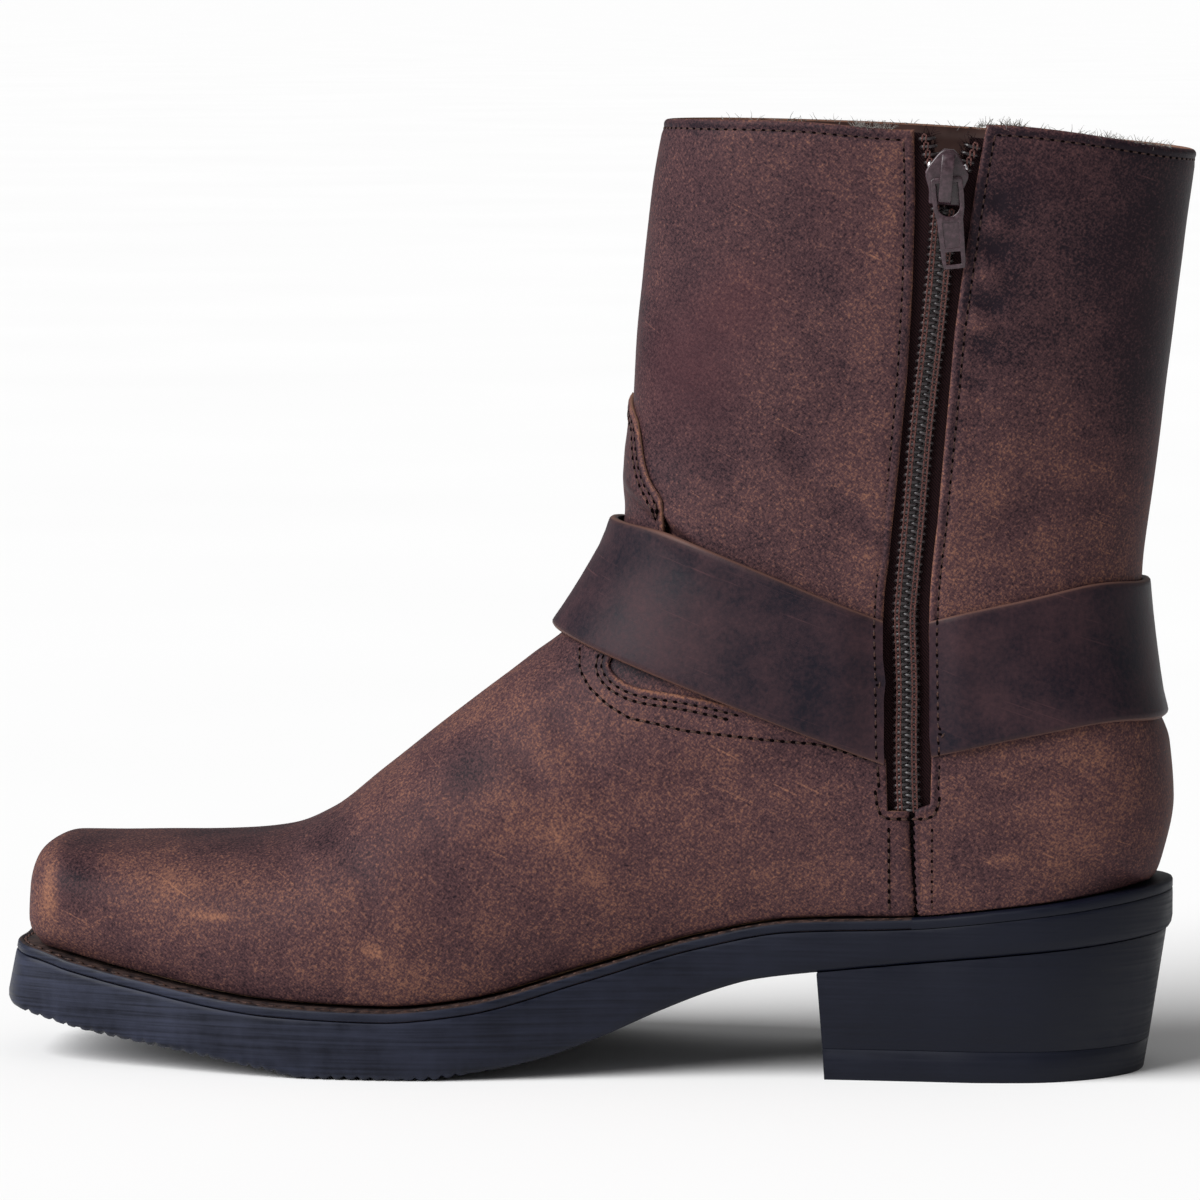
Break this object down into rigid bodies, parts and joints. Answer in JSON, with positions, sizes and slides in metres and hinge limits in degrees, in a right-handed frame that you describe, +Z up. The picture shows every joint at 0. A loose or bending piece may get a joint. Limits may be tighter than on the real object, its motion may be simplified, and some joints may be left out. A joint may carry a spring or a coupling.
{
  "type": "harness boot",
  "caption": "Right-foot ankle boot with a square snoot toe, stacked heel, harness straps that meet in a ring on the outer side, and an inside zip with a hanging pull tab.",
  "frame": {"origin": "on the floor under the middle of the boot's box", "axes": "-X to the toe, -Y to the inner side of the foot with the zip, +Z up"},
  "size_m": [0.3086, 0.1006, 0.2451],
  "materials": {
    "leather": "oiled, distressed brown",
    "strap": "dark brown, waxed",
    "sole": "black, dressed edge",
    "welt": "dark brown, stitched",
    "board": "plain",
    "tape": "woven, dark brown",
    "coil": "moulded, near black",
    "paint": "dark brown paint on die-cast metal",
    "ring": "nickel-plated wire"
  },
  "bodies": {
    "boot": {"outsole": "sole", "welt": "welt", "heel_rand": "sole", "heel_block": "sole", "heel_cap": "sole", "insole": "board", "upper": "leather", "zip_tape_front": "tape", "zip_tape_rear": "tape", "zip_coil": "coil", "zip_slider": "paint", "harness_ring": "ring", "strap_front": "strap", "strap_back": "strap", "strap_lower": "strap"},
    "pull_tab": {"zip_pull_tab": "paint"}
  },
  "joints": [
    {"name": "pull_tab_swing", "type": "hinge", "parent": "boot", "child": "pull_tab", "pos_m": [0.09408, -0.04459, 0.23052], "axis": [-0.9969, -0.0534, 0.0586], "range_deg": [0, 165]}
  ]
}
